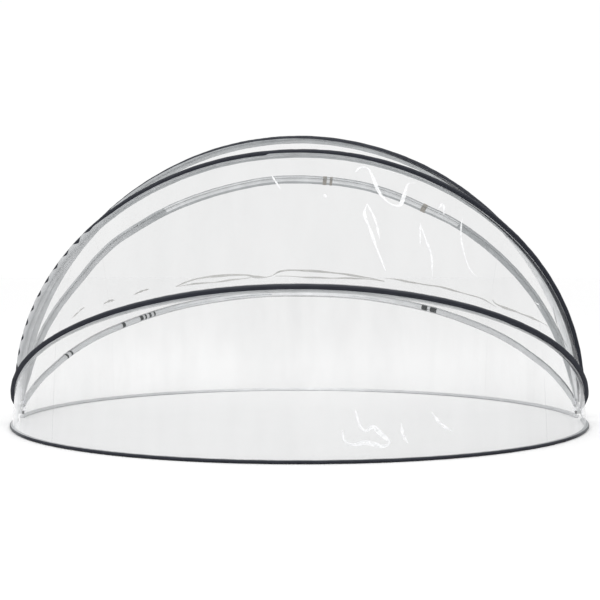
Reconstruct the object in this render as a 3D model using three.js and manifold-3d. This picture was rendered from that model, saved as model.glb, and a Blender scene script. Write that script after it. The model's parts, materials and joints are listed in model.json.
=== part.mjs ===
// Clear clamshell pool dome: two half rings on the ground and five hoops that all turn on one
// hinge axis, with fabric sleeves over the tubes and clear film between neighbouring frames.
// Millimetres, +Z up. The origin is on the ground under the middle of the dome, X runs along
// the hinge axis, and -Y is the front, which lifts open.

import * as THREE from 'three';
import { mergeVertices } from 'three/addons/utils/BufferGeometryUtils.js';
import Module from 'manifold-3d';

// ---- driving dimensions ----

const PIVOT_HEIGHT = 50;
const STACK_X = 1995;              // middle of the pile of hinge tongues on each bolt

const HOOP_HALF_SPAN = 1995;
const RING_RADIUS = 2002;
const RING_TUBE_HEIGHT = 10.5;

const TUBE_RADIUS = 8;
const TUBE_WALL = 1;
const TUBE_START = 112;            // distance of a tube's end from the hinge axis
const SWAGE_RADIUS = 6.5;
const SWAGE_BORE_RADIUS = 5.5;
const SWAGE_TAPER = 4;
const SWAGE_LENGTH = 40;
const TUBE_SIDES = 6;

const SLEEVE_START = 118;
const SLEEVE_FULL_SIZE_FROM = 280;
const SLEEVE_HALF_WIDTH = 17.5;
const SLEEVE_END_HALF_WIDTH = 10;
const SLEEVE_HALF_DEPTH = 29;
const SLEEVE_END_HALF_DEPTH = 12;
const RING_SLEEVE_HALF_HEIGHT = 10.5;
const RING_SLEEVE_HALF_DEPTH = 17;
const SLEEVE_CLOTH = 1;
const SLEEVE_FLAT = 0.55;          // part of each side of the sleeve's section that is flat

const FILM_START = 130;
const FILM_THICKNESS = 0.5;
const FILM_SEAM_GAP = 0.5;
const FILM_FULLNESS = 0.2;         // 0 is a straight pull between two hoops, 1 a full round
const FILM_STRIPS = 3;              // flat strips across one panel

const TONGUE_THICKNESS = 3;
const TONGUE_PITCH = 3.5;
const TONGUE_HALF_WIDTH = 9;
const EYE_RADIUS = 10;
const EYE_HOLE_RADIUS = 5.3;
const EYE_SEGMENTS = 12;
const BLOCK_LENGTH = 18;
const BLOCK_WIDTH = 30;
const BLOCK_HEIGHT = 18;
const PLUG_IN_TUBE = 30;
const PLUG_IN_BLOCK = 6;
const FIT_GAP = 0.4;

const BOLT_RADIUS = 5;
const BOLT_HEAD_RADIUS = 9.5;
const BOLT_HEAD_HEIGHT = 7;
const BOLT_TIP = 3;
const NUT_HEIGHT = 8;
const WASHER_RADIUS = 12;
const WASHER_THICKNESS = 2;
const CAP_RADIUS = 12;
const CAP_WALL = 1.5;
const CAP_LENGTH = 14;
const ROUND_SIDES = 16;            // sides of the bolt, washers and cap
const HEXAGON = 6;                 // sides of the bolt's head and the nut

const ARC_CHORDS = 18;             // chords of a hoop between its two tapered ends
const JOINT_CHORD = 6;             // chord, counted from each end, that holds the swaged joint

// Each frame's angle about the hinge axis, from the ground at the front, and how far its crown
// is from that axis. The two ground half rings have the ring's own radius.
const MEMBERS = [
  { name: 'front_rail', angle: 0, onGround: true },
  { name: 'hoop_1', angle: 28, rise: 1990 },
  { name: 'hoop_2', angle: 66.4, rise: 1945 },
  { name: 'hoop_3', angle: 99.5, rise: 2003 },
  { name: 'hoop_4', angle: 119.7, rise: 1985 },
  { name: 'hoop_5', angle: 156.3, rise: 1985 },
  { name: 'rear_ring', angle: 180, onGround: true },
];

const FILM_NAMES = [
  'film_front_lower',
  'film_front_upper',
  'film_top_front',
  'film_top_rear',
  'film_rear_upper',
  'film_rear_lower',
];

// ---- materials ----

const steel = { color: 0xb4b8bb, roughness: 0.38, metalness: 1.0 };
const zincSteel = { color: 0xc4c8ca, roughness: 0.3, metalness: 1.0 };
const sleeveFabric = { color: 0x30323a, roughness: 0.85, metalness: 0.0 };
const blackPlastic = { color: 0x1c1d20, roughness: 0.5, metalness: 0.0 };
const clearFilm = { color: 0xe6eaeb, roughness: 0.08, metalness: 0.0, transparent: true, opacity: 0.25 };

const dome = new THREE.Group();

function addMesh(parent, name, geometry, look) {
  const mesh = new THREE.Mesh(geometry, new THREE.MeshStandardMaterial(look));
  mesh.name = name;
  parent.add(mesh);
}

// ---- solids made of point grids ----

function signedVolume(points, index) {
  let sum = 0;
  for (let i = 0; i < index.length; i += 3) {
    const a = points[index[i]];
    const b = points[index[i + 1]];
    const c = points[index[i + 2]];
    sum += a.dot(new THREE.Vector3().crossVectors(b, c));
  }
  return sum / 6;
}

function indexedGeometry(points, index) {
  const geometry = new THREE.BufferGeometry().setFromPoints(points);
  geometry.setIndex(index);
  return geometry;
}

// A solid between two grids of points. With wraps the grid closes on itself across each row,
// as a tube does, and otherwise its two long sides are closed by a narrow face.
function shellSolid(outer, inner, wraps) {
  const rows = outer.length;
  const columns = outer[0].length;
  const points = [...outer.flat(), ...inner.flat()];
  const innerStart = rows * columns;
  const index = [];
  const at = (side, row, column) => side * innerStart + row * columns + (column % columns);
  const quad = (a, b, c, d) => index.push(a, b, c, a, c, d);
  const spans = wraps ? columns : columns - 1;
  for (let row = 0; row < rows - 1; row++) {
    for (let column = 0; column < spans; column++) {
      quad(at(0, row, column), at(0, row, column + 1), at(0, row + 1, column + 1), at(0, row + 1, column));
      quad(at(1, row, column), at(1, row + 1, column), at(1, row + 1, column + 1), at(1, row, column + 1));
    }
    if (!wraps) {
      const last = columns - 1;
      quad(at(0, row, 0), at(0, row + 1, 0), at(1, row + 1, 0), at(1, row, 0));
      quad(at(0, row, last), at(1, row, last), at(1, row + 1, last), at(0, row + 1, last));
    }
  }
  for (let column = 0; column < spans; column++) {
    const end = rows - 1;
    quad(at(0, 0, column), at(1, 0, column), at(1, 0, column + 1), at(0, 0, column + 1));
    quad(at(0, end, column), at(0, end, column + 1), at(1, end, column + 1), at(1, end, column));
  }
  if (signedVolume(points, index) < 0) {
    index.reverse();
  }
  return indexedGeometry(points, index);
}

// ---- the path of one frame, in its own plane ----
// Each frame is drawn flat: local X along the hinge axis, local Y outward from it, and local Z
// square to the frame's plane, towards the frame in front of it.

function frameSize(member) {
  if (!member.onGround) {
    return { halfSpan: HOOP_HALF_SPAN, rise: member.rise, offset: 0 };
  }
  const drop = PIVOT_HEIGHT - RING_TUBE_HEIGHT;
  return { halfSpan: RING_RADIUS, rise: RING_RADIUS, offset: member.angle === 0 ? drop : -drop };
}

function framePath(member) {
  const { halfSpan, rise, offset } = frameSize(member);
  const start = Math.asin(TUBE_START / rise);
  const taperEnd = Math.asin(SLEEVE_FULL_SIZE_FROM / rise);
  const angles = [start];
  for (let i = 0; i <= ARC_CHORDS; i++) {
    angles.push(THREE.MathUtils.lerp(taperEnd, Math.PI - taperEnd, i / ARC_CHORDS));
  }
  angles.push(Math.PI - start);
  return angles.map((a) => new THREE.Vector3(halfSpan * Math.cos(a), rise * Math.sin(a), offset));
}

// Stations along a run of path points, each with the direction that squares its section.
function stationsAlong(points) {
  return points.map((point, i) => {
    const before = points[Math.max(i - 1, 0)];
    const after = points[Math.min(i + 1, points.length - 1)];
    const direction = new THREE.Vector3().subVectors(after, before).normalize();
    return { point, direction };
  });
}

function sectionRing(station, section) {
  const across = new THREE.Vector3(station.direction.y, -station.direction.x, 0);
  return section.map(([u, v]) => {
    const place = station.point.clone().addScaledVector(across, u);
    place.z += v;
    return place;
  });
}

function roundSection(radius) {
  const section = [];
  for (let i = 0; i < TUBE_SIDES; i++) {
    const angle = (i / TUBE_SIDES) * 2 * Math.PI;
    section.push([radius * Math.sin(angle), radius * Math.cos(angle)]);
  }
  return section;
}

function sleeveSection(halfDepth, halfWidth) {
  const flatDepth = halfDepth * SLEEVE_FLAT;
  const flatWidth = halfWidth * SLEEVE_FLAT;
  const quarter = [[halfDepth, flatWidth], [flatDepth, halfWidth]];
  const half = [...quarter, ...quarter.map(([u, v]) => [-u, v]).reverse()];
  return [...half, ...half.map(([u, v]) => [-u, -v])];
}

// ---- tubes ----

function tubeSolid(stations) {
  const outer = stations.map((s) => sectionRing(s, roundSection(s.radius ?? TUBE_RADIUS)));
  const inner = stations.map((s) => sectionRing(s, roundSection(s.bore ?? TUBE_RADIUS - TUBE_WALL)));
  return shellSolid(outer, inner, true);
}

// The reduced end of a tube, which plugs into the next one: from `joint` along `direction`.
function swagedEnd(joint, direction) {
  const size = { radius: SWAGE_RADIUS, bore: SWAGE_BORE_RADIUS };
  return [SWAGE_TAPER, SWAGE_TAPER + SWAGE_LENGTH].map((distance) => ({
    point: joint.clone().addScaledVector(direction, distance),
    ...size,
  }));
}

function addTubes(group, member) {
  const path = framePath(member);
  const mirrorChord = path.length - 2 - JOINT_CHORD;
  const jointAt = (chord) => path[chord].clone().lerp(path[chord + 1], 0.5);
  const rightJoint = jointAt(JOINT_CHORD);
  const leftJoint = jointAt(mirrorChord);
  const towardsRight = path[JOINT_CHORD].clone().sub(path[JOINT_CHORD + 1]).normalize();
  const towardsLeft = path[mirrorChord + 1].clone().sub(path[mirrorChord]).normalize();

  const rightEnd = rightJoint.clone().addScaledVector(towardsRight, SWAGE_TAPER);
  const leftEnd = leftJoint.clone().addScaledVector(towardsLeft, SWAGE_TAPER);
  const rightRun = [...path.slice(0, JOINT_CHORD + 1), rightEnd];
  const leftRun = [leftEnd, ...path.slice(mirrorChord + 1)];
  addMesh(group, `${member.name}_tube_right`, tubeSolid(stationsAlong(rightRun)), steel);
  addMesh(group, `${member.name}_tube_left`, tubeSolid(stationsAlong(leftRun)), steel);

  const crownRun = [rightJoint, ...path.slice(JOINT_CHORD + 1, mirrorChord + 1), leftJoint];
  const rightPlug = swagedEnd(rightJoint, towardsRight).reverse();
  const leftPlug = swagedEnd(leftJoint, towardsLeft);
  const forward = towardsRight.clone().negate();
  const crown = [
    ...rightPlug.map((s) => ({ ...s, direction: forward })),
    ...stationsAlong(crownRun),
    ...leftPlug.map((s) => ({ ...s, direction: towardsLeft })),
  ];
  addMesh(group, `${member.name}_tube_crown`, tubeSolid(crown), steel);
}

// ---- sleeves and film ----

// The path from a given distance off the hinge axis at one end to the same at the other.
function pathFrom(member, startDistance) {
  const path = framePath(member);
  const last = path.length - 1;
  const share = (startDistance - TUBE_START) / (SLEEVE_FULL_SIZE_FROM - TUBE_START);
  const first = path[0].clone().lerp(path[1], share);
  const end = path[last].clone().lerp(path[last - 1], share);
  return [first, ...path.slice(1, last), end];
}

// Half the sleeve's size across its frame's plane and in it, at a distance from the hinge axis.
function sleeveHalfSize(member, distance) {
  if (member.onGround) {
    return { width: RING_SLEEVE_HALF_HEIGHT, depth: RING_SLEEVE_HALF_DEPTH };
  }
  const share = (distance - SLEEVE_START) / (SLEEVE_FULL_SIZE_FROM - SLEEVE_START);
  const taper = THREE.MathUtils.clamp(share, 0, 1);
  return {
    width: THREE.MathUtils.lerp(SLEEVE_END_HALF_WIDTH, SLEEVE_HALF_WIDTH, taper),
    depth: THREE.MathUtils.lerp(SLEEVE_END_HALF_DEPTH, SLEEVE_HALF_DEPTH, taper),
  };
}

function addSleeve(group, member) {
  const stations = stationsAlong(pathFrom(member, SLEEVE_START));
  const skin = (inset) => stations.map((station) => {
    const { width, depth } = sleeveHalfSize(member, station.point.y);
    return sectionRing(station, sleeveSection(depth - inset, width - inset));
  });
  addMesh(group, `${member.name}_sleeve`, shellSolid(skin(0), skin(SLEEVE_CLOTH), true), sleeveFabric);
}

// The seam line of a film panel along a frame's sleeve, in the dome's own axes.
// `side` is 1 on the frame's front side and -1 on its rear side.
function seamLine(member, side) {
  const turn = Math.PI - THREE.MathUtils.degToRad(member.angle);
  return pathFrom(member, FILM_START).map((point) => {
    const seam = point.clone();
    seam.z += side * (sleeveHalfSize(member, point.y).width + FILM_SEAM_GAP);
    return seam.applyAxisAngle(new THREE.Vector3(1, 0, 0), turn);
  });
}

// A point between two seam points. The pull is straight, let out a little towards the round.
function filmPoint(front, rear, share) {
  const point = front.clone().lerp(rear, share);
  const distance = Math.hypot(point.y, point.z);
  const roundDistance = THREE.MathUtils.lerp(
    Math.hypot(front.y, front.z),
    Math.hypot(rear.y, rear.z),
    share,
  );
  const scale = THREE.MathUtils.lerp(distance, roundDistance, FILM_FULLNESS) / distance;
  return new THREE.Vector3(point.x, point.y * scale, point.z * scale);
}

function addFilm(group, name, frontMember, rearMember) {
  const front = seamLine(frontMember, -1);
  const rear = seamLine(rearMember, 1);
  const middle = front.map((point, row) => {
    const strip = [];
    for (let i = 0; i <= FILM_STRIPS; i++) {
      strip.push(filmPoint(point, rear[row], i / FILM_STRIPS));
    }
    return strip;
  });
  const skin = (lift) => middle.map((strip) => strip.map((point) => {
    const outward = point.clone().normalize();
    return point.clone().addScaledVector(outward, lift);
  }));
  const geometry = shellSolid(skin(FILM_THICKNESS / 2), skin(-FILM_THICKNESS / 2), false);
  addMesh(group, name, geometry, clearFilm);
}

// ---- hinge fittings ----

const wasm = await Module();
wasm.setup();

function toManifold(geometry) {
  const bare = geometry.clone();
  bare.deleteAttribute('normal');
  bare.deleteAttribute('uv');
  const merged = mergeVertices(bare);
  const vertProperties = new Float32Array(merged.attributes.position.array);
  const triVerts = new Uint32Array(merged.index.array);
  return new wasm.Manifold(new wasm.Mesh({ numProp: 3, vertProperties, triVerts }));
}

function fromManifold(solid) {
  const { vertProperties, triVerts } = solid.getMesh();
  const geometry = new THREE.BufferGeometry();
  geometry.setAttribute('position', new THREE.BufferAttribute(vertProperties, 3));
  geometry.setIndex(new THREE.BufferAttribute(triVerts, 1));
  return geometry;
}

function mirroredInX(geometry) {
  const mirrored = geometry.clone();
  mirrored.scale(-1, 1, 1);
  mirrored.setIndex(Array.from(mirrored.index.array).reverse());
  return mirrored;
}

// A flat bar with a round eye at the hinge axis, lying in the local YZ plane.
function tongueGeometry(reach, tilt, stackX) {
  const outline = new THREE.Shape();
  const shoulder = Math.asin(TONGUE_HALF_WIDTH / EYE_RADIUS);
  outline.absarc(0, 0, EYE_RADIUS, shoulder, 2 * Math.PI - shoulder, false);
  outline.lineTo(reach, -TONGUE_HALF_WIDTH);
  outline.lineTo(reach, TONGUE_HALF_WIDTH);
  outline.closePath();
  const hole = new THREE.Path();
  hole.absarc(0, 0, EYE_HOLE_RADIUS, 0, 2 * Math.PI, true);
  outline.holes.push(hole);
  const options = { depth: TONGUE_THICKNESS, bevelEnabled: false, curveSegments: EYE_SEGMENTS };
  const geometry = new THREE.ExtrudeGeometry(outline, options);
  geometry.rotateZ(tilt);
  // Drawn flat in XY, then turned so that the drawing's x is local Y and its y is local Z.
  const turn = new THREE.Matrix4().makeBasis(
    new THREE.Vector3(0, 1, 0),
    new THREE.Vector3(0, 0, 1),
    new THREE.Vector3(1, 0, 0),
  );
  geometry.applyMatrix4(turn);
  geometry.translate(stackX - TONGUE_THICKNESS / 2, 0, 0);
  return geometry;
}

// The right-hand fitting of one frame: the tongue, a block, and a plug that fills the tube's end.
function fittingGeometry(member, stackX) {
  const path = framePath(member);
  const along = path[1].clone().sub(path[0]).normalize();
  const lean = -Math.atan2(along.x, along.y);
  const onAxis = (geometry, distance) => {
    geometry.rotateZ(lean);
    const place = path[0].clone().addScaledVector(along, distance);
    geometry.translate(place.x, place.y, place.z);
    return geometry;
  };
  const block = onAxis(
    new THREE.BoxGeometry(BLOCK_WIDTH, BLOCK_LENGTH, BLOCK_HEIGHT),
    -FIT_GAP - BLOCK_LENGTH / 2,
  );
  const plug = onAxis(
    new THREE.CylinderGeometry(SWAGE_RADIUS, SWAGE_RADIUS, PLUG_IN_TUBE + PLUG_IN_BLOCK, TUBE_SIDES),
    (PLUG_IN_TUBE - PLUG_IN_BLOCK) / 2,
  );
  const blockMiddle = TUBE_START - FIT_GAP - BLOCK_LENGTH / 2;
  const tongue = tongueGeometry(
    Math.hypot(blockMiddle, path[0].z),
    Math.atan2(path[0].z, blockMiddle),
    stackX,
  );
  return fromManifold(toManifold(tongue).add(toManifold(block)).add(toManifold(plug)));
}

function addFittings(group, member, place) {
  const middle = (MEMBERS.length - 1) / 2;
  const stackX = STACK_X + (middle - place) * TONGUE_PITCH;
  const right = fittingGeometry(member, stackX);
  addMesh(group, `${member.name}_hinge_right`, right, zincSteel);
  addMesh(group, `${member.name}_hinge_left`, mirroredInX(right), zincSteel);
}

// ---- pivot bolts ----

// A solid of revolution about X, from pairs of [x, radius].
function turnedAboutX(profile, sides) {
  const points = profile.map(([x, radius]) => new THREE.Vector2(radius, x));
  const geometry = new THREE.LatheGeometry(points, sides);
  geometry.rotateZ(-Math.PI / 2);
  return toManifold(geometry);
}

function rodAboutX(from, to, radius, sides) {
  return turnedAboutX([[from, 0], [from, radius], [to, radius], [to, 0]], sides);
}

function addPivot() {
  const group = new THREE.Group();
  group.position.z = PIVOT_HEIGHT;
  dome.add(group);
  const stackHalf = (MEMBERS.length - 1) / 2 * TONGUE_PITCH + TONGUE_THICKNESS / 2;
  const outerWasherFrom = STACK_X + stackHalf + FIT_GAP;
  const headFrom = outerWasherFrom + WASHER_THICKNESS + FIT_GAP;
  const innerWasherTo = STACK_X - stackHalf - FIT_GAP;
  const nutTo = innerWasherTo - WASHER_THICKNESS - FIT_GAP;
  const nutFrom = nutTo - NUT_HEIGHT;
  const boltFrom = nutFrom - BOLT_TIP;
  const headTo = headFrom + BOLT_HEAD_HEIGHT;
  const capTo = nutTo - FIT_GAP;
  const capFrom = capTo - CAP_LENGTH;
  const shank = rodAboutX(boltFrom, headTo, BOLT_RADIUS, ROUND_SIDES);
  const head = rodAboutX(headFrom, headTo, BOLT_HEAD_RADIUS, HEXAGON);
  const nut = rodAboutX(nutFrom, nutTo, BOLT_HEAD_RADIUS, HEXAGON);
  const washerAt = (from) => rodAboutX(from, from + WASHER_THICKNESS, WASHER_RADIUS, ROUND_SIDES);
  const drilled = (solid) => solid.subtract(rodAboutX(capFrom, headTo, EYE_HOLE_RADIUS, ROUND_SIDES));
  const cap = turnedAboutX([
    [capFrom, 0],
    [capFrom, CAP_RADIUS - CAP_WALL],
    [capFrom + CAP_WALL, CAP_RADIUS],
    [capTo, CAP_RADIUS],
    [capTo, CAP_RADIUS - CAP_WALL],
    [capFrom + CAP_WALL, CAP_RADIUS - CAP_WALL],
    [capFrom + CAP_WALL, 0],
  ], ROUND_SIDES);
  const pieces = [
    ['pivot_bolt', shank.add(head), zincSteel],
    ['pivot_washer_outer', drilled(washerAt(outerWasherFrom)), zincSteel],
    ['pivot_washer_inner', drilled(washerAt(innerWasherTo - WASHER_THICKNESS)), zincSteel],
    ['pivot_nut', drilled(nut), zincSteel],
    ['pivot_cap', cap, blackPlastic],
  ];
  for (const [name, solid, look] of pieces) {
    const geometry = fromManifold(solid);
    addMesh(group, `${name}_right`, geometry, look);
    addMesh(group, `${name}_left`, mirroredInX(geometry), look);
  }
}

// ---- assembly ----

MEMBERS.forEach((member, place) => {
  const group = new THREE.Group();
  group.position.z = PIVOT_HEIGHT;
  group.rotation.x = Math.PI - THREE.MathUtils.degToRad(member.angle);
  dome.add(group);
  addTubes(group, member);
  addSleeve(group, member);
  addFittings(group, member, place);
});

const films = new THREE.Group();
films.position.z = PIVOT_HEIGHT;
dome.add(films);
FILM_NAMES.forEach((name, i) => {
  addFilm(films, name, MEMBERS[i], MEMBERS[i + 1]);
});

addPivot();

export default dome;
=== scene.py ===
import json
import math

import bpy
import numpy as np
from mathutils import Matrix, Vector


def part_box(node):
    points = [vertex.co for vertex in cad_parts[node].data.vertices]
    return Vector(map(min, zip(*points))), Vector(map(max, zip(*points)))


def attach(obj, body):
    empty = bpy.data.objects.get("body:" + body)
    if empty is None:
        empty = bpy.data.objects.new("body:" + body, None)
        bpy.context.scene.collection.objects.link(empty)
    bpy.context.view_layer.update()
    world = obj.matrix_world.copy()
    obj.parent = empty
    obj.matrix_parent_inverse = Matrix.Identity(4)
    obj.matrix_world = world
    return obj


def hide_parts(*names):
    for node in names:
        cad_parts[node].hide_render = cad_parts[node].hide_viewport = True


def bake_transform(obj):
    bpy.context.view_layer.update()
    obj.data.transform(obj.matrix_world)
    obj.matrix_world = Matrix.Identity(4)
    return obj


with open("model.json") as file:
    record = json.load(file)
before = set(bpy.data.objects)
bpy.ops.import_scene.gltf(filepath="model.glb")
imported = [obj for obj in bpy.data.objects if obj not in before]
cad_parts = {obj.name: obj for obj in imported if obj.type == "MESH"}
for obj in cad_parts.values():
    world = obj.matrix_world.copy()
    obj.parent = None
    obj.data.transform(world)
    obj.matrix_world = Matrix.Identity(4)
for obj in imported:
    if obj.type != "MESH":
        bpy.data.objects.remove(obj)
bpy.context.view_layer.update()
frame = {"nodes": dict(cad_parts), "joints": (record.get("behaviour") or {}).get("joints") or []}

# A clear clamshell pool dome: tubes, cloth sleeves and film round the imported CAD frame.

FULL_TURN = 2 * math.pi

# ---- camera, fitted to the photograph's viewing angle ----

CAMERA_DISTANCE = 9.296
CAMERA_ASIDE = 0.0035
CAMERA_HEIGHT = 1.167
CAMERA_TILT = math.radians(1.94)
CAMERA_LENS = 78.4
CAMERA_SENSOR = 36


def make_camera():
    data = bpy.data.cameras.new("camera")
    data.lens = CAMERA_LENS
    data.sensor_width = CAMERA_SENSOR
    camera = bpy.data.objects.new("camera", data)
    camera.location = (CAMERA_ASIDE, -CAMERA_DISTANCE, CAMERA_HEIGHT)
    camera.rotation_euler = (math.pi / 2 - CAMERA_TILT, 0, 0)
    bpy.context.scene.collection.objects.link(camera)
    bpy.context.scene.camera = camera


make_camera()

# ---- the seven frames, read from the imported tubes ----

PIVOT_Z = frame["joints"][0]["pos_m"][2]
PIVOT = np.array([0, 0, PIVOT_Z])
MEMBER_NAMES = ["front_rail", "hoop_1", "hoop_2", "hoop_3", "hoop_4", "hoop_5", "rear_ring"]
GROUND_MEMBERS = ("front_rail", "rear_ring")
# The points of a crown tube this near its middle plane are taken as its middle ring.
CROWN_SLICE = 0.001
# A side tube's last ring reaches this far in x: a little more than the tube is wide.
END_RING_REACH = 0.0165
# How much the loose cloth sways off the tube's line, in metres.
SWAY = {"hoop_4": 0.006, "hoop_5": 0.005, "front_rail": 0.0, "rear_ring": 0.0}
SWAY_ELSEWHERE = 0.001
# The sway's two waves: height, radians in a metre, and how the frame's angle shifts the phase.
SWAY_WAVES = ((1.0, 3.3, 5), (0.6, 7.9, 9))
# How far the loose cloth hangs off the tube at the crown, outward, in metres.
HANG = {"hoop_3": -0.007, "hoop_4": -0.015, "hoop_5": 0.008}
# Local kinks in the cloth: share of the half span, half length of the kink, and how far outward.
KINKS = {
    "hoop_4": [(-0.84, 0.06, -0.016), (-0.70, 0.05, 0.008), (0.50, 0.07, -0.006), (-0.32, 0.08, 0.004)],
    "hoop_5": [(-0.94, 0.03, -0.008), (-0.80, 0.06, 0.005), (0.78, 0.06, 0.006), (0.90, 0.03, -0.006)],
}


def node_points(node):
    return np.array([v.co for v in frame["nodes"][node].data.vertices])


def middle_of(points):
    return (points.min(0) + points.max(0)) / 2


class Member:
    """One hoop or ground half ring: where its tube runs, in axes of its own.

    x runs along the hinge axis, `out` away from it in the frame's plane, and `fore` square to
    that plane, towards the frame in front. phi goes from 0 at the right hinge to pi at the left.
    offset is how far the tube lies to the front of the hinge axis.
    """

    def __init__(self, name):
        self.name = name
        self.body = "root" if name == "rear_ring" else name
        self.on_ground = name in GROUND_MEMBERS
        crown_points = node_points(f"{name}_tube_crown")
        crown = middle_of(crown_points[abs(crown_points[:, 0]) < CROWN_SLICE])
        if self.on_ground:
            self.angle = 0.0 if crown[1] < 0 else math.pi
            self.offset = (PIVOT_Z - crown[2]) * (1 if crown[1] < 0 else -1)
            self.rise = abs(crown[1])
        else:
            self.angle = math.atan2(crown[2] - PIVOT_Z, -crown[1])
            self.offset = 0.0
            self.rise = math.hypot(crown[2] - PIVOT_Z, crown[1])
        end_points = node_points(f"{name}_tube_right")
        end = middle_of(end_points[end_points[:, 0] > end_points[:, 0].max() - END_RING_REACH])
        self.half_span = end[0] / math.cos(math.asin(self.reach_out(end) / self.rise))

    def reach_out(self, point):
        """How far a point is from the hinge axis, in this frame's plane."""
        return -point[1] * math.cos(self.angle) + (point[2] - PIVOT_Z) * math.sin(self.angle)

    def place(self, x, out, fore):
        """Points in the scene from this member's own axes."""
        c, s = math.cos(self.angle), math.sin(self.angle)
        x, out, fore = np.broadcast_arrays(x, out, fore)
        return np.stack([x, -out * c - fore * s, PIVOT_Z + out * s - fore * c], axis=-1)

    def line(self, phi):
        return self.half_span * np.cos(phi), self.rise * np.sin(phi)

    def distance(self, phi):
        """How far the tube's line is from the hinge axis."""
        return self.rise * np.sin(phi)

    def normal(self, phi):
        """The outward normal of the tube's line, in its own plane."""
        nx, no = self.rise * np.cos(phi), self.half_span * np.sin(phi)
        length = np.hypot(nx, no)
        return nx / length, no / length

    def wander(self, phi):
        """How far the loose cloth sags off the tube's line, outward: most on the two rear hoops."""
        along = phi * self.half_span
        ends = np.sin(phi) ** 2
        slow = sum(height * np.sin(along * rate + self.angle * shift) for height, rate, shift in SWAY_WAVES)
        kinks = 0
        for middle, reach, amount in KINKS.get(self.name, ()):
            kinks = kinks + amount * np.exp(-(((np.cos(phi) - middle) / reach) ** 2))
        return (SWAY.get(self.name, SWAY_ELSEWHERE) * slow + HANG.get(self.name, 0.0)) * ends + kinks

    def phi_at(self, distance):
        """Where the line is this far from the hinge axis, on the right-hand side."""
        return math.asin(min(1.0, distance / self.rise))

    def around(self, phi, u, v):
        """Points at u outward of the tube's line and v to its front, at each phi."""
        x, out = self.line(phi)
        nx, no = self.normal(phi)
        return self.place(x + nx * u, out + no * u, self.offset + v)


MEMBERS = [Member(name) for name in MEMBER_NAMES]
BY_NAME = {m.name: m for m in MEMBERS}

# ---- meshes made of point grids ----


def grid_object(name, points, cloth=None, wraps=False, inward=False):
    """A mesh from rows x columns points. cloth gives each point's flat place on the cloth, in metres."""
    rows, columns = points.shape[:2]
    spans = columns if wraps else columns - 1
    r, c = np.meshgrid(np.arange(rows - 1), np.arange(spans), indexing="ij")
    r, c = r.ravel(), c.ravel()
    near, far = r * columns, (r + 1) * columns
    after = (c + 1) % columns
    quads = np.stack([near + c, near + after, far + after, far + c], 1)
    if inward:
        quads = quads[:, ::-1]
    mesh = bpy.data.meshes.new(name)
    mesh.from_pydata(points.reshape(-1, 3).tolist(), [], quads.tolist())
    mesh.shade_smooth()
    if cloth is not None:
        write_cloth_map(mesh, cloth, r, c)
    mesh.update()
    piece = bpy.data.objects.new(name, mesh)
    bpy.context.scene.collection.objects.link(piece)
    return piece


def write_cloth_map(mesh, cloth, r, c):
    """A UV map in metres. cloth has one column more than the points where they wrap round."""
    after = np.minimum(c + 1, cloth.shape[1] - 1)
    corners = np.stack([cloth[r, c], cloth[r, after], cloth[r + 1, after], cloth[r + 1, c]], 1)
    layer = mesh.uv_layers.new(name="cloth")
    layer.data.foreach_set("uv", corners.astype(np.float32).ravel())


def cloth_grid(along, across):
    """The flat place of each grid point, from its place along the cloth and across it."""
    return np.stack(np.broadcast_arrays(along, across), -1)


def lengths_along(points):
    """The running length down a point grid, along the mean of its columns, as one column."""
    middle = points.mean(axis=1)
    steps = np.linalg.norm(np.diff(middle, axis=0), axis=1)
    return np.concatenate([[0], np.cumsum(steps)])[:, None]


def finish_piece(piece, body, materials):
    """Gives a piece its materials, and the body it rides if it is given one."""
    for material in materials:
        piece.data.materials.append(material)
    if body:
        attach(piece, body)


def smooth_ramp(value, start, end):
    t = np.clip((value - start) / (end - start), 0, 1)
    return t * t * (3 - 2 * t)


def sine(position, wavelength, bend=0.0):
    """A sine of this wavelength, with its phase bent by some radians."""
    return np.sin(FULL_TURN * position / wavelength + bend)


# ---- materials ----

# The colour sockets of a Mix node: it has others of the same names for numbers and vectors.
MIX_A, MIX_B, MIX_RESULT = 6, 7, 2


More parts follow.
